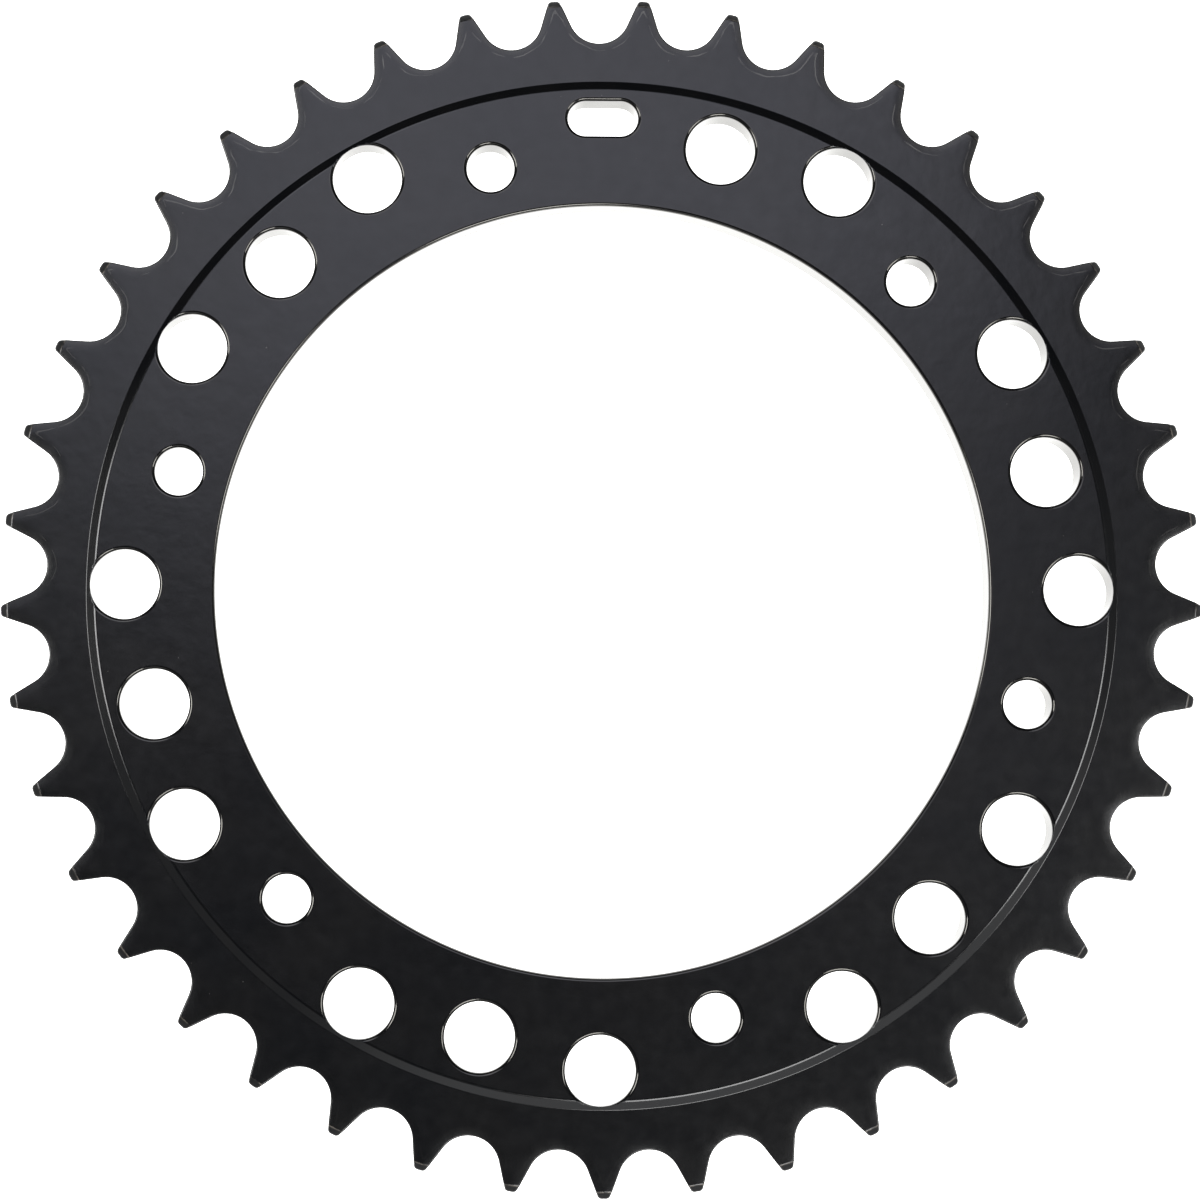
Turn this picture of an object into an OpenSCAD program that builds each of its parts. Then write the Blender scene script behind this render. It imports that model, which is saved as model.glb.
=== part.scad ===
// Rear sprocket for a motorcycle's roller chain. It is one steel plate: a toothed rim, a slightly
// thicker web inside it, a large hub bore, a ring of bolt holes and rows of lightening holes.
// Lengths are in millimetres. The origin is on the bore's axis at the back face, which seats on
// the wheel's sprocket carrier. +Z points out of the front face, and the slot lies on +Y.

/* [Chain and teeth] */
// Number of teeth
teeth = 41; // [39:1:60]
// Pitch of the chain
chain_pitch = 15.875; // [15.6:0.005:20]
// Diameter of the chain's rollers
roller_d = 10.16; // [8:0.01:11]
// What the seat's radius has over the roller's radius
seat_clearance = 0.42; // [0.05:0.01:0.8]
// Angle between a flank and the middle line of its gap
flank_angle = 25; // [15:1:30]
// Height of the tooth tips above the pitch circle
tip_rise = 3.2; // [1.5:0.02:3.6]
// Radius on the corners of each tip
tip_corner_r = 0.8; // [0.3:0.05:0.9]
// Width of the tips' side bevels, along the radius
tip_bevel_w = 1.4; // [0.5:0.1:2.5]
// Depth of the tips' side bevels, along the axis
tip_bevel_h = 0.8; // [0.5:0.1:2]
// How far the toothing is turned from a gap on +Y
tooth_turn = 0.4; // [-4:0.1:4]

/* [Plate] */
// Thickness of the toothed rim
rim_t = 5.8; // [4:0.1:8]
// Thickness of the web
web_t = 6.6; // [4.5:0.1:9]
// Plain rim between the roots of the teeth and the foot of the step
rim_w = 7.15; // [3:0.05:9]
// Width of the sloping step from the rim up to the web
step_w = 1.6; // [0.4:0.05:3]
// Bevel that breaks the edges of the bore and the holes
edge_break = 0.3; // [0.1:0.05:0.6]

/* [Hub bore and bolts] */
// Diameter of the hub bore
hub_bore_d = 137.2; // [110:0.1:142]
// Diameter of the circle that the bolt holes lie on
bolt_pcd = 156; // [149:0.5:168]
// Number of bolt holes
bolt_count = 6; // [4:1:6]
// Diameter of each bolt hole
bolt_hole_d = 8.5; // [6:0.1:12.5]
// Angle of the first bolt hole from +X
bolt_start = 45; // [45:60:345]

/* [Lightening holes] */
// Diameter of each lightening hole
light_hole_d = 12.3; // [6:0.1:16]
// Metal between the outer holes of a row and the foot of the step
light_hole_margin = 0.7; // [0.2:0.1:4]
// Length of the slot that takes the place of one hole
slot_l = 12.6; // [9:0.1:20]
// Width of that slot
slot_w = 6.4; // [4:0.1:8]

/* [Hidden] */
$fn = 96;

// The gaps run on past the tips and the faces by this much, so that every cut goes right through
overcut = 1;

// Circles of the toothing
pitch_r = chain_pitch / (2 * sin(180 / teeth));
root_r = pitch_r - roller_d / 2;
tip_r = pitch_r + tip_rise;
seat_r = roller_d / 2 + seat_clearance;
seat_y = root_r + seat_r;

// Circles of the step
step_foot_r = root_r - rim_w;
step_top_r = step_foot_r - step_w;

// Rows of three holes, one row between each two bolt holes. Their outer holes lie a quarter of
// the bolt spacing from the row's middle, and the middle hole lies halfway along the chord.
bolt_step = 360 / bolt_count;
row_half_angle = bolt_step / 4;
row_end_r = step_foot_r - light_hole_margin - light_hole_d / 2;
row_mid_r = row_end_r * cos(row_half_angle);
row_start = bolt_start + bolt_step / 2;
// The slot stands in for the row end that lies on +Y
slot_angle = 90;

// A gap's flank leaves the seat where the two are tangent, and runs straight at flank_angle
flank_dir = [sin(flank_angle), cos(flank_angle)];
flank_foot = [seat_r * cos(flank_angle), seat_y - seat_r * sin(flank_angle)];

// Where a line from p along the unit vector d crosses a circle of radius r about the origin
function line_at_radius(p, d, r) = p + d * (-(p * d) + sqrt(pow(p * d, 2) - p * p + r * r));

// Centre of the rounding of a tip corner: its radius away from the flank and inside the tip circle
corner_offset = tip_corner_r * [cos(flank_angle), -sin(flank_angle)];
corner_c = line_at_radius(flank_foot + corner_offset, flank_dir, tip_r - tip_corner_r);
// The rounding turns from the flank to the tip circle in equal steps
corner_steps = 5;
corner_from = 180 - flank_angle;
corner_to = atan2(corner_c.y, corner_c.x);
corner_arc = [
    for (i = [0:corner_steps])
        let (a = corner_from + (corner_to - corner_from) * i / corner_steps)
            corner_c + tip_corner_r * [cos(a), sin(a)]
];
// Right half of a gap, from its middle line round the flank and the corner to outside the tips
gap_half = concat(
    [[0, seat_y], flank_foot],
    corner_arc,
    [corner_arc[corner_steps] * (tip_r + overcut) / tip_r, [0, tip_r + overcut]]
);

// Half section of the plate, turned about the axis
plate_section = [
    [0, 0],
    [tip_r - tip_bevel_w, 0],
    [tip_r, tip_bevel_h],
    [tip_r, rim_t - tip_bevel_h],
    [tip_r - tip_bevel_w, rim_t],
    [step_foot_r, rim_t],
    [step_top_r, web_t],
    [0, web_t]
];

// Half section of a cut through the web, with broken edges at both faces. The bevels run on past
// the faces.
function cut_section(r) = [
    [0, -overcut],
    [r + edge_break + overcut, -overcut],
    [r, edge_break],
    [r, web_t - edge_break],
    [r + edge_break + overcut, web_t + overcut],
    [0, web_t + overcut]
];

module plate() {
    rotate_extrude($fn = 180) polygon(plate_section);
}

// A roller seat with its two flanks, on +Y
module tooth_gap() {
    translate([0, seat_y, -overcut])
        cylinder(r = seat_r, h = web_t + 2 * overcut, $fn = 48);
    translate([0, 0, -overcut])
        linear_extrude(web_t + 2 * overcut) {
            polygon(gap_half);
            mirror([1, 0]) polygon(gap_half);
        }
}

module round_cut(r) {
    rotate_extrude() polygon(cut_section(r));
}

// A slot along X with round ends
module slot_cut(length, width) {
    run = length - width;
    for (side = [-1, 1])
        translate([side * run / 2, 0, 0]) round_cut(width / 2);
    for (side = [0, 1])
        mirror([0, side, 0])
            translate([-run / 2, 0, 0])
                rotate([90, 0, 90]) linear_extrude(run) polygon(cut_section(width / 2));
}

// Places its children at radius r and angle a from +X, with their own +Y pointing outwards
module on_circle(r, a) {
    rotate(a - 90) translate([0, r, 0]) children();
}

module row_hole(r, a) {
    on_circle(r, a)
        if (abs(a - slot_angle) < 0.01 || abs(a - slot_angle - 360) < 0.01)
            slot_cut(slot_l, slot_w);
        else
            round_cut(light_hole_d / 2);
}

module rear_sprocket() {
    color("#2b2c31")
        difference() {
            plate();
            for (i = [0:teeth - 1]) rotate(tooth_turn + i * 360 / teeth) tooth_gap();
            round_cut(hub_bore_d / 2);
            for (i = [0:bolt_count - 1])
                on_circle(bolt_pcd / 2, bolt_start + i * bolt_step) round_cut(bolt_hole_d / 2);
            for (i = [0:bolt_count - 1]) {
                middle = row_start + i * bolt_step;
                row_hole(row_mid_r, middle);
                for (side = [-1, 1]) row_hole(row_end_r, middle + side * row_half_angle);
            }
        }
}

rear_sprocket();
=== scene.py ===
"""A motorcycle's rear sprocket, coated black, laid on a white table under soft studio lamps."""

import math

import bpy
import numpy as np
from bpy.props import FloatProperty, FloatVectorProperty, IntProperty, PointerProperty
from mathutils import Matrix, Vector, geometry


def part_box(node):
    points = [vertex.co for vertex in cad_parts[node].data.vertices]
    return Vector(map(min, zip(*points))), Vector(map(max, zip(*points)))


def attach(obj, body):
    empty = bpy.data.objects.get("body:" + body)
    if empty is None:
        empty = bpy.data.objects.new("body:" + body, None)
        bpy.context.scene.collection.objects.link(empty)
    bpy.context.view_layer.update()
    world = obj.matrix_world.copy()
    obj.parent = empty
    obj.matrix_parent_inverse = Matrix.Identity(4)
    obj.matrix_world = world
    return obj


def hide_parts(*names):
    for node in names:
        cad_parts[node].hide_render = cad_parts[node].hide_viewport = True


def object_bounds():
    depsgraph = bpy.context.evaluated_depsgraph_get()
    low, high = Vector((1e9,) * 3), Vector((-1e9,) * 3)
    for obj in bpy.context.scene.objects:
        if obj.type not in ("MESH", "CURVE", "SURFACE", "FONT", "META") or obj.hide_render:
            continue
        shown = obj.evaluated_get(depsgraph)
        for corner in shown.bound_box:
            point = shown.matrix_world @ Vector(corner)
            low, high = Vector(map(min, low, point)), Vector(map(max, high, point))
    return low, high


bl_info = {
    "name": "Rear sprocket",
    "version": (1, 0, 0),
    "blender": (4, 5, 0),
    "location": "View3D > Sidebar > Sprocket",
    "description": "Makes the coated plate of a chain sprocket and the studio that shows it",
    "category": "Object",
}

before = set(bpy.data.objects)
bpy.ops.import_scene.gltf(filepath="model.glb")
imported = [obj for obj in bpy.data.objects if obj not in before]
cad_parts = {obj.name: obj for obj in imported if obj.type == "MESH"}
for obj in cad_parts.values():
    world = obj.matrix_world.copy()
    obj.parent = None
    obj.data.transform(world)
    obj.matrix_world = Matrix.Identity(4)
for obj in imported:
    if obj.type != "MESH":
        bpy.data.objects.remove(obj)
CAD_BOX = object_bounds()
NODE = "rear_sprocket"
MM = 0.001  # Blender works in metres, and every size here is thought of in millimetres
COAT_IOR = 1.5  # a cured epoxy coat
MIX_FACTOR, MIX_A, MIX_B = 0, 6, 7  # a Mix node's sockets when it mixes colours

# The plate's material slots, in the order of COATS
PUNCHED, TURNED, BEVELLED, HOLE_WALL, TOOTH_WALL = range(5)

# Name, azimuth from +X and lean from overhead in degrees, distance and size in metres, radiance,
# tint. Each faces the origin.
LAMPS = (
    ("lamp_overhead", 98, 27, 0.95, 0.6, 1.3, (0.93, 0.95, 1.1)),
    ("lamp_fill", 72, 14.5, 0.95, 0.5, 0.58, (0.95, 0.94, 1.08)),
    ("lamp_far", 118, 39, 0.95, 0.32, 1.3, (0.97, 0.98, 1.05)),
    ("lamp_right", -16, 43, 0.9, 0.34, 10.0, (1, 1, 1)),
    ("lamp_near", -72, 43, 0.9, 0.34, 10.0, (1, 1, 1)),
    ("lamp_left", 176, 45, 0.9, 0.38, 11.0, (1, 1, 1)),
)


def linear(hex_colour):
    """The linear RGBA of an sRGB hex colour."""
    srgb = np.array([int(hex_colour[i : i + 2], 16) / 255 for i in (1, 3, 5)])
    low, high = srgb / 12.92, ((srgb + 0.055) / 1.055) ** 2.4
    return (*np.where(srgb <= 0.04045, low, high).tolist(), 1.0)


def length(name, description, millimetres):
    """A size property that shows in the user's own units."""
    return FloatProperty(
        name=name,
        description=description,
        default=millimetres * MM,
        min=0.0,
        unit="LENGTH",
        subtype="DISTANCE",
        precision=5,
    )


def angle(name, description, degrees):
    """An angle property."""
    return FloatProperty(
        name=name, description=description, default=math.radians(degrees), subtype="ANGLE"
    )


def colour(name, description, hex_colour):
    """A colour property, whose default is an sRGB hex value."""
    return FloatVectorProperty(
        name=name,
        description=description,
        default=linear(hex_colour),
        size=4,
        min=0.0,
        max=1.0,
        subtype="COLOR",
    )


class ToothSizes(bpy.types.PropertyGroup):
    """The toothing, as the chain sets it."""

    teeth: IntProperty(name="Teeth", description="Number of teeth", default=41, min=9)
    pitch: length("Chain pitch", "Distance between two rollers of the chain", 15.875)
    roller: length("Roller", "Diameter of the chain's rollers", 10.16)
    seat_clearance: length("Seat clearance", "The seat's radius less the roller's", 0.42)
    flank: angle("Flank angle", "From a flank to the middle line of its gap", 25)
    tip_rise: length("Tip rise", "From the pitch circle out to the tips", 3.2)
    corner: length("Tip corner", "Radius on the corners of a tip", 0.8)
    bevel_width: length("Bevel width", "Of the turned bevel at the tips, along the radius", 1.4)
    bevel_depth: length("Bevel depth", "Of the turned bevel at the tips, along the axis", 0.8)
    turn: angle("Turn", "From +Y to the nearest gap", 0.4)
    edge: length("Tooth edge", "Radius that tumbling leaves on the edges of the gaps", 0.3)
    sag: length("Sag", "How far the punch draws the face down at the gaps", 0.11)
    sag_width: length("Sag width", "How far in from the gaps the face is drawn down", 2.1)


class PlateSizes(bpy.types.PropertyGroup):
    """The plate inside the teeth."""

    rim: length("Rim thickness", "Thickness of the toothed rim", 5.8)
    web: FloatProperty(
        name="Web thickness",
        description="Thickness of the raised web, which the CAD plate gives",
        default=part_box(NODE)[1].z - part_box(NODE)[0].z,
        unit="LENGTH",
        subtype="DISTANCE",
    )
    rim_width: length("Rim width", "From the roots of the teeth in to the step", 7.15)
    step_width: length("Step width", "Width of the sloping step", 1.6)
    step_top: length("Step edge", "Radius on the upper edge of the step", 1.1)
    step_foot: length("Step foot", "Radius in the foot of the step", 0.35)
    bevel_start: length("Bevel edge", "Radius where the tips' bevel starts", 0.6)


class HoleSizes(bpy.types.PropertyGroup):
    """The bore, the bolt holes and the rows of lightening holes."""

    bore: length("Hub bore", "Diameter of the hub bore", 137.2)
    bolt_circle: length("Bolt circle", "Diameter of the circle of bolt holes", 156)
    bolts: IntProperty(name="Bolt holes", description="Number of bolt holes", default=6, min=1)
    bolt: length("Bolt hole", "Diameter of a bolt hole", 8.5)
    bolt_start: angle("First bolt hole", "Angle of the first bolt hole from +X", 45)
    light: length("Lightening hole", "Diameter of a lightening hole", 12.3)
    margin: length("Margin", "From a row's outer holes to the foot of the step", 0.7)
    slot_length: length("Slot length", "Length of the slot on +Y", 12.6)
    slot_width: length("Slot width", "Width of the slot on +Y", 6.4)
    roll: length("Rolled edge", "Radius that the punch rolls on a hole's edge", 0.65)


class CoatColours(bpy.types.PropertyGroup):
    """Colours of the plate's finish, of the table and of the room."""

    coat: colour("Coat", "The black coat", "#050608")
    thin: colour("Thin coat", "The coat where it lies thin on an edge", "#11100f")
    # This colour paints bare steel, and also the highlight on the edge where the tips' bevel starts
    bevel_steel_and_highlight: colour("Steel", "Bare steel where an edge is rubbed through", "#a39a8e")
    # This colour paints the dust specks, and also the highlight along the teeth's edges near +Y
    dust_and_highlight: colour("Dust", "Specks of dust in the coat", "#8b8984")
    table: colour("Table", "The white table", "#f7f7f5")
    room: colour("Room", "The room's pale walls", "#f1f2f4")


class Profile:
    """Heights along the plate's radius, with every corner rounded by an arc."""

    def __init__(self, start, corners, end):
        rho, z, slope = [start[0]], [start[1]], [0.0]
        points = [start, *[c[:2] for c in corners], end]
        for i, (x, y, radius, steps) in enumerate(corners, 1):
            before = math.atan2(y - points[i - 1][1], x - points[i - 1][0])
            after = math.atan2(points[i + 1][1] - y, points[i + 1][0] - x)
            tangent = radius * math.tan(abs(after - before) / 2)
            side = math.copysign(radius, after - before)
            x0, y0 = x - tangent * math.cos(before), y - tangent * math.sin(before)
            for turn in np.linspace(before, after, steps + 1):
                rho.append(x0 + side * (math.sin(turn) - math.sin(before)))
                z.append(y0 - side * (math.cos(turn) - math.cos(before)))
                slope.append(turn)
        rho.append(end[0])
        z.append(end[1])
        slope.append(slope[-1])
        self.rho, self.z, self.slope = np.array(rho), np.array(z), np.tan(slope)
        self.circles = rho[1:-1]

    def at(self, rho):
        """Height and slope at these radii."""
        return np.interp(rho, self.rho, self.z), np.interp(rho, self.rho, self.slope)


class Plate:
    """The sprocket's shape in millimetres, worked out from the user's sizes."""

    # Points round the bore, a bolt hole, a lightening hole, a turned ring, and one end of the slot
    bore_points, bolt_points, light_points, ring_points, slot_points = 360, 72, 96, 480, 36
    ring_points_per_tooth = 18
    grid_spacing = 0.6

    def __init__(self, tooth, plate, hole):
        self.teeth = tooth.teeth
        self.pitch_angle = 2 * math.pi / tooth.teeth
        self.turn = tooth.turn
        roller_r = tooth.roller / 2 / MM
        pitch_r = tooth.pitch / 2 / MM / math.sin(math.pi / tooth.teeth)
        self.root_r = pitch_r - roller_r
        self.tip_r = pitch_r + tooth.tip_rise / MM
        self.seat_r = roller_r + tooth.seat_clearance / MM
        self.flank = tooth.flank
        self.corner = tooth.corner / MM
        self.edge = tooth.edge / MM
        self.sag, self.sag_width = tooth.sag / MM, tooth.sag_width / MM
        self.roll = hole.roll / MM
        self.rim, self.web = plate.rim / MM, plate.web / MM
        self.bevel_r = self.tip_r - tooth.bevel_width / MM
        self.foot_r = self.root_r - plate.rim_width / MM
        self.top_r = self.foot_r - plate.step_width / MM
        bevel = (self.bevel_r, self.rim, plate.bevel_start / MM, 3)
        tip = (self.tip_r, self.rim - tooth.bevel_depth / MM)
        step = [
            (self.top_r, self.web, plate.step_top / MM, 4),
            (self.foot_r, self.rim, plate.step_foot / MM, 4),
        ]
        self.front = Profile((0, self.web), [*step, bevel], tip)
        self.back = Profile((0, self.rim), [bevel], tip)
        self.bore_r = hole.bore / 2 / MM
        self.bolt_r = hole.bolt / 2 / MM
        self.light_r = hole.light / 2 / MM
        self.slot_r = hole.slot_width / 2 / MM
        self.slot_run = hole.slot_length / 2 / MM - self.slot_r
        self.place_holes(hole)
        self.tooth_outline()

    def place_holes(self, hole):
        """Bolt holes on their circle, and rows of three holes between them, with a slot on +Y."""
        step = 2 * math.pi / hole.bolts
        end_r = self.foot_r - hole.margin / MM - self.light_r
        mid_r = end_r * math.cos(step / 4)
        self.bolts, self.lights = [], []
        for i in range(hole.bolts):
            a = hole.bolt_start + i * step
            self.bolts.append(polar(hole.bolt_circle / 2 / MM, a))
            middle = a + step / 2
            self.lights.append(polar(mid_r, middle))
            for side in (-1, 1):
                end = polar(end_r, middle + side * step / 4)
                on_y = math.isclose(end[0], 0, abs_tol=0.01)
                if on_y and end[1] > 0:
                    self.slot = end
                else:
                    self.lights.append(end)

    def tooth_outline(self):
        """One pitch of the outline, from the tooth on the right of +Y to the one on its left."""
        seat_y = self.root_r + self.seat_r
        along = np.array([math.sin(self.flank), math.cos(self.flank)])
        away = np.array([math.cos(self.flank), -math.sin(self.flank)])
        foot = np.array([0, seat_y]) + self.seat_r * away
        start = foot + self.corner * away
        reach = self.tip_r - self.corner
        dot = start @ along
        centre = start + along * (-dot + math.sqrt(dot * dot - start @ start + reach**2))
        leave = math.atan2(centre[1], centre[0])
        middle = math.pi / 2 - self.pitch_angle / 2
        half = [polar(self.tip_r, a) for a in np.linspace(middle, leave, 3)]
        turns = np.linspace(leave, math.pi - self.flank, 6)[1:]
        half += [centre + self.corner * polar(1, a) for a in turns]
        half += [foot + (half[-1] - foot) * t for t in (0.67, 0.33)]
        turns = np.linspace(-self.flank, -math.pi / 2, 12)
        half += [np.array([0, seat_y]) + self.seat_r * polar(1, a) for a in turns]
        right = np.array(half)
        left = right[:-1][::-1] * [-1, 1]
        self.pitch_line = np.vstack([right, left])
        line = self.pitch_line
        ahead = np.vstack([line[1:], turned(line[1:2], self.pitch_angle)])
        before = np.vstack([turned(line[-2:-1], -self.pitch_angle), line[:-1]])
        tangent = unit(ahead - line) + unit(line - before)
        self.pitch_normal = unit(np.stack([tangent[:, 1], -tangent[:, 0]], 1))

    def to_outline(self, xy):
        """Depth of each point inside the outline, and the outline's normal beside it."""
        beside = np.arctan2(xy[:, 1], xy[:, 0]) - math.pi / 2 - self.turn
        turn = np.round(beside / self.pitch_angle) * self.pitch_angle + self.turn
        p = turned(xy, -turn)
        a, b = self.pitch_line[:-1], self.pitch_line[1:]
        ab = b - a
        t = np.einsum("nsk,sk->ns", p[:, None] - a, ab) / (ab * ab).sum(1)
        t = np.clip(t, 0, 1)
        away = p[:, None] - (a + t[..., None] * ab)
        far = np.hypot(away[..., 0], away[..., 1])
        near = far.argmin(1)
        row = np.arange(len(p))
        t, away, far = t[row, near, None], away[row, near], far[row, near]
        n = self.pitch_normal
        normal = unit(n[near] * (1 - t) + n[near + 1] * t)
        depth = -np.sign((away * normal).sum(1)) * far
        return depth, turned(normal, turn)

    def to_holes(self, xy):
        """Distance of each point from the nearest hole, and the way into that hole."""
        rho = np.hypot(xy[:, 0], xy[:, 1])
        best, way = rho - self.bore_r, -xy / rho[:, None]
        for centres, radius in ((self.bolts, self.bolt_r), (self.lights, self.light_r)):
            for c in centres:
                best, way = nearer(best, way, c - xy, radius)
        in_slot = self.slot - xy
        in_slot[:, 0] += np.clip(-in_slot[:, 0], -self.slot_run, self.slot_run)
        return nearer(best, way, in_slot, self.slot_r)

    def surfaces(self, xy):
        """Heights and normals of the front and the back, and the normals of the walls."""
        rho = np.hypot(xy[:, 0], xy[:, 1])
        radial = xy / rho[:, None]
        depth, out = self.to_outline(xy)
        gap, into = self.to_holes(xy)
        at_tooth = np.clip(1 - depth / self.edge, 0, 1)
        at_hole = np.clip(1 - gap / self.roll, 0, 1)
        tooth_drop = self.edge * (1 - np.sqrt(1 - at_tooth**2))
        hole_drop = self.roll * (1 - np.sqrt(1 - at_hole**2))
        near = np.clip(1 - depth / self.sag_width, 0, 1)
        drawn = 2 * self.sag / self.sag_width * near[:, None] * out
        # The step is turned after the holes are punched, and cuts their rolled edges away
        height, slope = self.front.at(rho)
        front = np.minimum(height - self.sag * near**2 - tooth_drop, self.web - hole_drop)
        rolled = (at_hole > 0) & (self.web - hole_drop < height - 1e-6)
        lean = np.where(rolled, at_hole, at_tooth)[:, None]
        side = np.where(rolled[:, None], into, out)
        tilt = np.where(rolled, 0, slope)[:, None] * radial - drawn
        front_n = leaning(side, lean, tilt, 1)
        height, slope = self.back.at(rho)
        back = self.rim - height + tooth_drop + hole_drop
        lean = np.maximum(at_tooth, at_hole)[:, None]
        side = np.where((at_hole > at_tooth)[:, None], into, out)
        back_n = leaning(side, lean, slope[:, None] * radial, -1)
        side = np.where((gap < depth)[:, None], into, out)
        wall_n = np.hstack([side, np.zeros((len(xy), 1))])
        return front, front_n, back, back_n, wall_n, depth, gap

    def loops(self):
        """Closed lines that the mesh follows: every edge with its rounding, and every circle."""
        spread = 1 - np.sin(np.radians([90, 67.5, 45, 22.5, 0]))
        lines = []
        for inset in self.edge * spread:
            one = (self.pitch_line - inset * self.pitch_normal)[:-1]
            turns = [self.turn + i * self.pitch_angle for i in range(self.teeth)]
            lines.append(np.vstack([turned(one, a) for a in turns]))
        for grow in self.roll * spread:
            lines.append(circle((0, 0), self.bore_r + grow, self.bore_points))
            lines += [circle(c, self.bolt_r + grow, self.bolt_points) for c in self.bolts]
            lines += [circle(c, self.light_r + grow, self.light_points) for c in self.lights]
            lines.append(obround(self.slot, self.slot_run, self.slot_r + grow, self.slot_points))
        for rho in self.front.circles:
            across_teeth = self.ring_points_per_tooth * self.teeth
            count = self.ring_points if rho < self.root_r else across_teeth
            lines.append(circle((0, 0), rho, count))
        return lines

    def rim_grid(self):
        """Points spread over the teeth and their roots, so that the drawn-down edges are smooth."""
        step = self.grid_spacing
        rows = np.arange(self.root_r - self.sag_width - step, self.tip_r, step)
        return [p for r in rows for p in circle((0, 0), r, int(2 * math.pi * r / step)).tolist()]

    def plan(self):
        """The plate's plan as triangles, and its points."""
        points, edges = [], []
        for line in self.loops():
            first, count = len(points), len(line)
            points += line.tolist()
            edges += [(first + i, first + (i + 1) % count) for i in range(count)]
        points += self.rim_grid()
        made = geometry.delaunay_2d_cdt([Vector(p) for p in points], edges, [], 0, 1e-5)
        xy = np.array([tuple(p) for p in made[0]])
        tris = np.array(made[2])
        middle = xy[tris].mean(1)
        metal = (self.to_outline(middle)[0] > 0) & (self.to_holes(middle)[0] > 0)
        tris = tris[metal]
        used = np.unique(tris)
        order = np.full(len(xy), -1)
        order[used] = np.arange(len(used))
        return xy[used], order[tris]


def polar(radius, a):
    """The point at that radius and angle."""
    return radius * np.array([math.cos(a), math.sin(a)])


def turned(xy, a):
    """Points turned about the axis."""
    c, s = np.cos(a), np.sin(a)
    return np.stack([c * xy[:, 0] - s * xy[:, 1], s * xy[:, 0] + c * xy[:, 1]], 1)


def unit(vectors):
    """Vectors brought to length 1."""
    return vectors / np.maximum(np.linalg.norm(vectors, axis=1, keepdims=True), 1e-12)


def nearer(best, way, towards, radius):
    """The lesser of two distances, with the direction that goes with it."""
    far = np.hypot(towards[:, 0], towards[:, 1])
    this = far - radius < best
    far = np.maximum(far, 1e-9)
    return (
        np.where(this, far - radius, best),
        np.where(this[:, None], towards / far[:, None], way),
    )


def leaning(side, lean, tilt, face):
    """Normals of a face that leans over towards its edges."""
    flat = np.hstack([-tilt, np.full((len(side), 1), 1.0)]) * np.sqrt(1 - lean**2)
    normal = unit(flat + np.hstack([side * lean, np.zeros((len(side), 1))]))
    return normal * [1, 1, face]


def circle(centre, radius, count):
    """Points round a circle."""
    a = np.linspace(0, 2 * math.pi, count, endpoint=False)
    return np.array(centre) + radius * np.stack([np.cos(a), np.sin(a)], 1)


def obround(centre, run, radius, count):
    """Points round a slot that lies along X."""
    a = np.linspace(-math.pi / 2, math.pi / 2, count + 1)
    end = radius * np.stack([np.cos(a), np.sin(a)], 1)
    straight = np.linspace(run, -run, 16)[1:-1]
    top = np.stack([straight, np.full(len(straight), radius)], 1)
    half = np.vstack([end + [run, 0], top])
    return np.array(centre) + np.vstack([half, -half])


def plate_mesh(shape):
    """The whole plate as one closed mesh with its own normals."""
    xy, tris = shape.plan()
    front, front_n, back, back_n, wall_n, depth, gap = shape.surfaces(xy)
    count = len(xy)
    sides = np.vstack([tris[:, [0, 1]], tris[:, [1, 2]], tris[:, [2, 0]]])
    key = np.sort(sides, 1) @ [count, 1]
    _, first, times = np.unique(key, return_index=True, return_counts=True)
    rim = sides[first[times == 1]]
    walls = np.stack([rim[:, 1], rim[:, 0], rim[:, 0] + count, rim[:, 1] + count], 1)
    mesh = bpy.data.meshes.new("sprocket_plate")
    points = np.vstack([np.column_stack([xy, front]), np.column_stack([xy, back])]) * MM
    faces = tris.tolist() + (tris[:, ::-1] + count).tolist() + walls.tolist()
    mesh.from_pydata(points.tolist(), [], faces)
    normals = np.vstack(
        [front_n[tris.ravel()], back_n[tris[:, ::-1].ravel()], wall_n[walls.ravel() % count]]
    )
    mesh.shade_smooth()
    # The turned finish reaches a little past both edges of the step, which are rounded
    middle = xy[tris].mean(1)
    rho = np.hypot(*middle.T)
    step = (rho > shape.top_r - 0.3) & (rho < shape.foot_r + 0.2)
    plain = np.where(rho > shape.bevel_r, BEVELLED, PUNCHED)
    rolled = np.where(shape.to_holes(middle)[0] < shape.roll, HOLE_WALL, plain)
    in_hole = gap[rim].max(1) < depth[rim].max(1)
    slots = [np.where(step, TURNED, rolled), rolled, np.where(in_hole, HOLE_WALL, TOOTH_WALL)]
    mesh.polygons.foreach_set("material_index", np.concatenate(slots).astype(np.int32))
    past_bevel = np.hypot(*xy.T) - shape.bevel_r
    for name, values in (("mm_from_gap", depth), ("mm_past_bevel", past_bevel)):
        kept = mesh.attributes.new(name, "FLOAT", "POINT")
        kept.data.foreach_set("value", np.tile(np.clip(values, -9, 9), 2).astype(np.float32))
    mesh.normals_split_custom_set(normals.tolist())
    return mesh


def add_node(tree, kind, inputs=None, **settings):
    """Adds a node with its settings. An input is a value, or a node or socket that links to it."""
    node = tree.nodes.new("ShaderNode" + kind)
    for name, value in settings.items():
        setattr(node, name, value)
    for key, value in (inputs or {}).items():
        if isinstance(value, bpy.types.Node):
            value = next(out for out in value.outputs if out.enabled)
        if isinstance(value, bpy.types.NodeSocket):
            tree.links.new(value, node.inputs[key])
        else:
            node.inputs[key].default_value = value
    return node


def grain(millimetres):
    """The scale of a texture whose grain is that many millimetres."""
    return 1 / (millimetres * MM)


def new_material(name):
    """A material whose tree holds only the object's own coordinates."""
    material = bpy.data.materials.new(name)
    material.use_nodes = True
    tree = material.node_tree
    tree.nodes.clear()
    place = add_node(tree, "TexCoord").outputs["Object"]
    return material, tree, place


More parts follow.
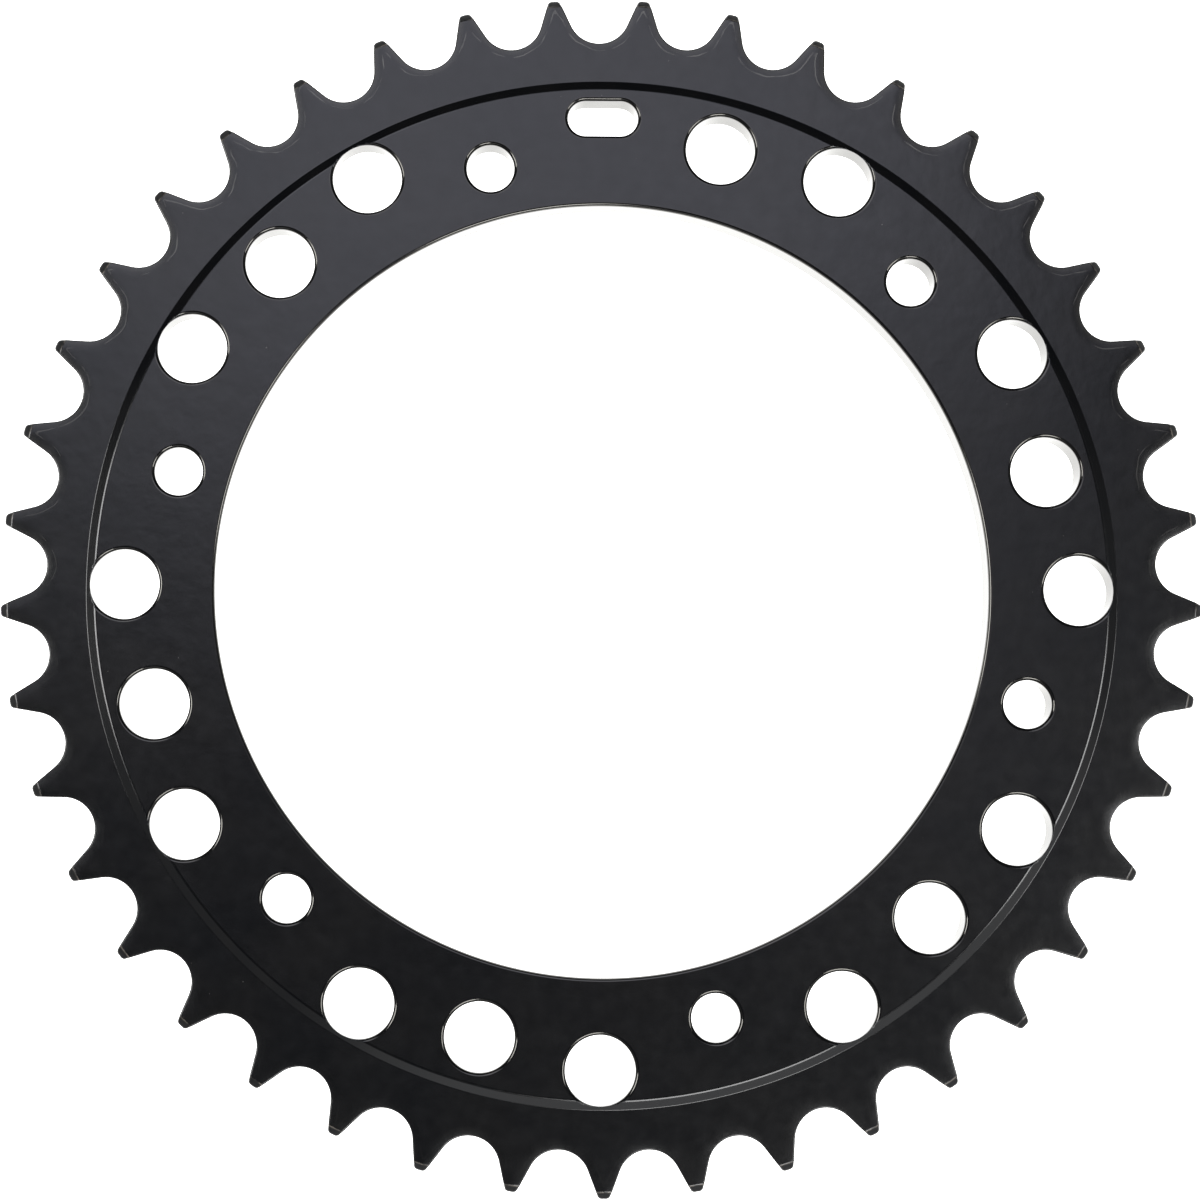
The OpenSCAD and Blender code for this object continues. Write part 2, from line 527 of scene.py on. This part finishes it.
def coat_tone(tree, place, colours, patch, most):
    """The coat's colour, which thins in patches of that many millimetres, by up to that share."""
    cloud = add_node(tree, "TexNoise", {"Vector": place, "Scale": grain(patch), "Detail": 3.0})
    thin = add_node(
        tree, "MapRange", {"Value": cloud, "From Min": 0.3, "From Max": 0.7, "To Max": most}
    )
    return add_node(
        tree,
        "Mix",
        {MIX_FACTOR: thin, MIX_A: colours.coat, MIX_B: colours.thin},
        data_type="RGBA",
    )


def specks(tree, place):
    """Grains of dust about 0.2 mm across, caught in the wet coat in a few places."""
    spread = add_node(tree, "TexVoronoi", {"Vector": place, "Scale": grain(2.6)})
    where = add_node(tree, "TexNoise", {"Vector": place, "Scale": grain(9)})
    size = add_node(
        tree, "MapRange", {"Value": where, "From Min": 0.5, "From Max": 0.8, "To Max": 0.07}
    )
    speck = add_node(tree, "Math", {0: spread, 1: size}, operation="LESS_THAN")
    return add_node(tree, "Math", {0: speck, 1: 0.25}, operation="MULTIPLY")


def painted_top_edge_highlight(tree, place):
    """Painted highlight: a paler border along the gaps, with a broken hairline 1 to 2 mm inside the
    teeth's outline.
    It stands for light caught on the teeth's edges, so it is strong near +Y, where the light falls,
    and faint elsewhere."""
    inset = add_node(tree, "Attribute", attribute_name="mm_from_gap").outputs["Fac"]
    border = add_node(
        tree, "MapRange", {"Value": inset, "From Min": 1.3, "From Max": 0.3, "To Max": 0.08}
    )
    drift = add_node(tree, "TexNoise", {"Vector": place, "Scale": grain(7), "Detail": 2.0})
    reach = add_node(
        tree,
        "MapRange",
        {"Value": drift, "From Min": 0.3, "From Max": 0.7, "To Min": 1.0, "To Max": 1.8},
    )
    away = add_node(tree, "Math", {0: inset, 1: reach}, operation="SUBTRACT")
    beside = add_node(tree, "Math", {0: away}, operation="ABSOLUTE")
    line = add_node(tree, "MapRange", {"Value": beside, "From Min": 0.15, "From Max": 0.05})
    patch = add_node(tree, "TexNoise", {"Vector": place, "Scale": grain(4)})
    here = add_node(
        tree, "MapRange", {"Value": patch, "From Min": 0.42, "From Max": 0.62, "To Max": 0.24}
    )
    broken = add_node(tree, "Math", {0: line, 1: here}, operation="MULTIPLY")
    painted_pale = add_node(tree, "Math", {0: border, 1: broken}, operation="MAXIMUM")
    axes = add_node(tree, "SeparateXYZ", {"Vector": place}).outputs
    # Painted highlight: strong towards +Y, where the light falls, and faint elsewhere
    toward_light = add_node(
        tree, "MapRange", {"Value": axes["Y"], "From Min": -0.02, "From Max": 0.08, "To Min": 0.05}
    )
    return add_node(tree, "Math", {0: painted_pale, 1: toward_light}, operation="MULTIPLY")


def face_coat(colours):
    """Black electrocoat on punched plate: an even coat with a soft sheen and a slight orange peel.
    It holds grains of dust, and beside the teeth near +Y a painted highlight makes it paler along the
    edges."""
    material, tree, place = new_material("black_electrocoat_punched_plate")
    tone = coat_tone(tree, place, colours, 18, 0.5)
    # Dust specks, and the painted highlight along the gaps of the teeth
    marks = add_node(
        tree, "Math", {0: specks(tree, place), 1: painted_top_edge_highlight(tree, place)}, operation="MAXIMUM"
    )
    tone = add_node(
        tree, "Mix", {MIX_FACTOR: marks, MIX_A: tone, MIX_B: colours.dust_and_highlight}, data_type="RGBA"
    )
    smear = add_node(tree, "TexNoise", {"Vector": place, "Scale": grain(2.5), "Detail": 4.0})
    sheen = add_node(
        tree,
        "MapRange",
        {"Value": smear, "From Min": 0.25, "From Max": 0.75, "To Min": 0.22, "To Max": 0.27},
    )
    dents = add_node(tree, "TexNoise", {"Vector": place, "Scale": grain(4)})
    dented = add_node(tree, "Bump", {"Height": dents, "Strength": 1.0, "Distance": 0.045 * MM})
    peel = add_node(tree, "TexNoise", {"Vector": place, "Scale": grain(0.9), "Detail": 3.0})
    relief = {"Height": peel, "Strength": 0.5, "Distance": 0.018 * MM, "Normal": dented}
    peeled = add_node(tree, "Bump", relief)
    finish = {"Base Color": tone, "Roughness": sheen, "IOR": COAT_IOR, "Normal": peeled}
    shader = add_node(tree, "BsdfPrincipled", finish)
    add_node(tree, "OutputMaterial", {"Surface": shader})
    return material


def turned_coat(colours):
    """The same coat over the turned step: the cut is smooth, so lamps show in it as sharp lines."""
    material, tree, place = new_material("black_electrocoat_turned_step")
    tone = coat_tone(tree, place, colours, 7, 0.4)
    # Feed marks are about 0.15 mm apart on the real cut, and drawn at 0.25 mm so that they show
    flat = add_node(tree, "VectorMath", {0: place, 1: (1, 1, 0)}, operation="MULTIPLY")
    radius = add_node(tree, "VectorMath", {0: flat}, operation="LENGTH")
    marks = add_node(
        tree, "TexNoise", {"W": radius, "Scale": grain(0.25), "Detail": 1.0}, noise_dimensions="1D"
    )
    cut = add_node(tree, "Bump", {"Height": marks, "Strength": 0.3, "Distance": 0.004 * MM})
    finish = {"Base Color": tone, "Roughness": 0.16, "IOR": COAT_IOR, "Normal": cut}
    shader = add_node(tree, "BsdfPrincipled", finish)
    add_node(tree, "OutputMaterial", {"Surface": shader})
    return material


def bevel_coat(colours):
    """The same coat over the milled bevels of the tips, with a pale patchy line where they start:
    bare steel through the coat, and a painted highlight.
    """
    material, tree, place = new_material("black_electrocoat_milled_bevel")
    tone = coat_tone(tree, place, colours, 2, 0.6)
    past = add_node(tree, "Attribute", attribute_name="mm_past_bevel").outputs["Fac"]
    # Painted highlight with bare steel: a pale line just past the bevel's start
    start = add_node(
        tree, "MapRange", {"Value": past, "From Min": 0.26, "From Max": 0.1, "To Max": 0.3}
    )
    patch = add_node(tree, "TexNoise", {"Vector": place, "Scale": grain(1.2)})
    here = add_node(tree, "MapRange", {"Value": patch, "From Min": 0.35, "From Max": 0.6})
    steel_and_highlight = add_node(tree, "Math", {0: start, 1: here}, operation="MULTIPLY")
    tone = add_node(
        tree, "Mix", {MIX_FACTOR: steel_and_highlight, MIX_A: tone, MIX_B: colours.bevel_steel_and_highlight}, data_type="RGBA"
    )
    mill = add_node(tree, "TexNoise", {"Vector": place, "Scale": grain(0.4)})
    cut = add_node(tree, "Bump", {"Height": mill, "Strength": 0.4, "Distance": 0.006 * MM})
    finish = {"Base Color": tone, "Roughness": 0.3, "IOR": COAT_IOR, "Normal": cut}
    shader = add_node(tree, "BsdfPrincipled", finish)
    add_node(tree, "OutputMaterial", {"Surface": shader})
    return material


def streaked_wall(name, colours, streak, relief, shine):
    """A coated wall with upright streaks, that many millimetres wide and deep, from the punch."""
    material, tree, place = new_material(name)
    upright = add_node(tree, "Mapping", {"Vector": place, "Scale": (1, 1, 0.08)})
    streaks = add_node(tree, "TexNoise", {"Vector": upright, "Scale": grain(streak), "Detail": 3.0})
    thin = add_node(
        tree, "MapRange", {"Value": streaks, "From Min": 0.4, "From Max": 0.7, "To Max": 0.5}
    )
    tone = add_node(
        tree,
        "Mix",
        {MIX_FACTOR: thin, MIX_A: colours.coat, MIX_B: colours.thin},
        data_type="RGBA",
    )
    ribbed = add_node(tree, "Bump", {"Height": streaks, "Strength": 0.4, "Distance": relief * MM})
    finish = {"Base Color": tone, "Normal": ribbed, **shine}
    shader = add_node(tree, "BsdfPrincipled", finish)
    add_node(tree, "OutputMaterial", {"Surface": shader})
    return material


def hole_wall_coat(colours):
    """The same coat on the walls of the holes and on their rolled edges, which the punch burnishes.
    It is smooth, so that at a flat angle it mirrors the white table, and a lamp is a thin line."""
    shine = {"Roughness": 0.1, "IOR": 1.6, "Specular Tint": (1.0, 0.97, 0.9, 1.0)}
    return streaked_wall("black_electrocoat_burnished_hole_wall", colours, 0.35, 0.004, shine)


def tooth_wall_coat(colours):
    """The same coat on the walls of the teeth, which hardening has left dull."""
    shine = {"Roughness": 0.7, "IOR": COAT_IOR}
    return streaked_wall("black_electrocoat_hardened_tooth_wall", colours, 0.5, 0.03, shine)


COATS = (face_coat, turned_coat, bevel_coat, hole_wall_coat, tooth_wall_coat)


class OBJECT_OT_sprocket_plate(bpy.types.Operator):
    """Makes the coated plate, which stands for the CAD plate"""

    bl_idname = "object.sprocket_plate"
    bl_label = "Make the plate"

    def execute(self, context):
        scene = context.scene
        shape = Plate(scene.sprocket_teeth, scene.sprocket_plate, scene.sprocket_holes)
        mesh = plate_mesh(shape)
        for make in COATS:
            mesh.materials.append(make(scene.sprocket_colours))
        plate = bpy.data.objects.new("sprocket_plate", mesh)
        scene.collection.objects.link(plate)
        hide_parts(NODE)
        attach(plate, "root")
        return {"FINISHED"}


def softbox(name, azimuth, lean, distance, size, radiance, tint):
    """A square lamp that faces the plate. It leans from overhead towards that azimuth, from +X."""
    lamp = bpy.data.lights.new(name, "AREA")
    lamp.shape = "SQUARE"
    lamp.size = size
    lamp.energy = radiance * math.pi * size * size
    lamp.color = tint
    a, b = math.radians(azimuth), math.radians(lean)
    way = Vector((math.sin(b) * math.cos(a), math.sin(b) * math.sin(a), math.cos(b)))
    lit = bpy.data.objects.new(name, lamp)
    lit.location = way * distance
    lit.rotation_mode = "QUATERNION"
    lit.rotation_quaternion = way.to_track_quat("Z", "Y")
    bpy.context.scene.collection.objects.link(lit)


def dim_room(colour_of_walls):
    """A dim room with a paler band on the near walls, and pale all round where it is seen itself."""
    world = bpy.data.worlds.new("room")
    world.use_nodes = True
    tree = world.node_tree
    tree.nodes.clear()
    way = add_node(tree, "TexCoord").outputs["Generated"]
    axes = add_node(tree, "SeparateXYZ", {"Vector": way}).outputs
    # The band lies between 45 and 65 degrees from overhead
    upper = add_node(tree, "MapRange", {"Value": axes["Z"], "From Min": 0.74, "From Max": 0.6})
    lower = add_node(tree, "MapRange", {"Value": axes["Z"], "From Min": 0.3, "From Max": 0.42})
    band = add_node(tree, "Math", {0: upper, 1: lower}, operation="MULTIPLY")
    toward = add_node(tree, "VectorMath", {0: way, 1: (0.45, -1, 0)}, operation="DOT_PRODUCT")
    near = add_node(
        tree,
        "MapRange",
        {"Value": toward, "From Min": 0.5, "From Max": 0.75, "To Min": 0.3, "To Max": 1.1},
    )
    far = add_node(tree, "MapRange", {"Value": axes["Y"], "From Min": 0.45, "From Max": 0.1})
    beside = add_node(tree, "Math", {0: near, 1: far}, operation="MULTIPLY")
    lit = add_node(tree, "Math", {0: band, 1: beside, 2: 0.04}, operation="MULTIPLY_ADD")
    seen = add_node(tree, "LightPath").outputs["Is Camera Ray"]
    strength = add_node(tree, "Math", {0: lit, 1: seen}, operation="MAXIMUM")
    walls = add_node(tree, "Background", {"Color": colour_of_walls, "Strength": strength})
    add_node(tree, "OutputWorld", {"Surface": walls})
    return world


def light_table(colours):
    """Opal acrylic, lit from below: it glows, so the plate casts next to no shadow on it."""
    material, tree, _ = new_material("opal_acrylic_light_table")
    glow = {
        "Base Color": colours.table,
        "Roughness": 0.6,
        "Emission Color": colours.table,
        "Emission Strength": 2.2,
    }
    shader = add_node(tree, "BsdfPrincipled", glow)
    add_node(tree, "OutputMaterial", {"Surface": shader})
    return material


def table_top(material):
    """A flat top, far wider than the plate, just below the plate's back."""
    mesh = bpy.data.meshes.new("table")
    low = CAD_BOX[0].z - 0.05 * MM
    half = 3.0
    corners = [(x * half, y * half, low) for x, y in ((-1, -1), (1, -1), (1, 1), (-1, 1))]
    mesh.from_pydata(corners, [], [(0, 1, 2, 3)])
    mesh.materials.append(material)
    return mesh


def camera_overhead():
    """The camera, nearly half a metre over the plate, nodding and rolled a little."""
    lens = bpy.data.cameras.new("camera")
    lens.sensor_width = 36.0
    lens.lens = 77.97
    lens.shift_x, lens.shift_y = 0.1072, -0.0455
    lens.clip_start, lens.clip_end = 0.01, 20.0
    camera = bpy.data.objects.new("camera", lens)
    nod, roll = math.radians(4.786), 0.007
    tilt = Matrix.Rotation(nod, 4, "X") @ Matrix.Rotation(roll, 4, "Z")
    camera.matrix_world = Matrix.Translation(Vector((-23.16, -31.19, 466.06)) * MM) @ tilt
    return camera


class OBJECT_OT_sprocket_stage(bpy.types.Operator):
    """Makes the white table, the lamps, the room's dim light and the camera"""

    bl_idname = "object.sprocket_stage"
    bl_label = "Make the stage"

    def execute(self, context):
        scene = context.scene
        colours = scene.sprocket_colours
        table = bpy.data.objects.new("table", table_top(light_table(colours)))
        scene.collection.objects.link(table)
        for lamp in LAMPS:
            softbox(*lamp)
        scene.world = dim_room(colours.room)
        scene.camera = camera_overhead()
        scene.collection.objects.link(scene.camera)
        scene.view_settings.view_transform = "Standard"
        return {"FINISHED"}


class VIEW3D_PT_sprocket(bpy.types.Panel):
    """Sizes and colours of the sprocket, and a button for each thing to make."""

    bl_label = "Rear sprocket"
    bl_space_type = "VIEW_3D"
    bl_region_type = "UI"
    bl_category = "Sprocket"

    def draw(self, context):
        for name in GROUPS:
            group = getattr(context.scene, name)
            box = self.layout.box()
            for key in group.__annotations__:
                box.prop(group, key)
        for operator in OPERATORS:
            self.layout.operator(operator.bl_idname)


GROUPS = {
    "sprocket_teeth": ToothSizes,
    "sprocket_plate": PlateSizes,
    "sprocket_holes": HoleSizes,
    "sprocket_colours": CoatColours,
}
OPERATORS = (OBJECT_OT_sprocket_plate, OBJECT_OT_sprocket_stage)


def register():
    for kind in (*GROUPS.values(), *OPERATORS, VIEW3D_PT_sprocket):
        bpy.utils.register_class(kind)
    for name, group in GROUPS.items():
        setattr(bpy.types.Scene, name, PointerProperty(type=group))


def unregister():
    for name in GROUPS:
        delattr(bpy.types.Scene, name)
    for kind in (VIEW3D_PT_sprocket, *reversed(OPERATORS), *reversed(GROUPS.values())):
        bpy.utils.unregister_class(kind)


def main():
    register()
    bpy.ops.object.sprocket_plate()
    bpy.ops.object.sprocket_stage()


if __name__ == "__main__":
    main()
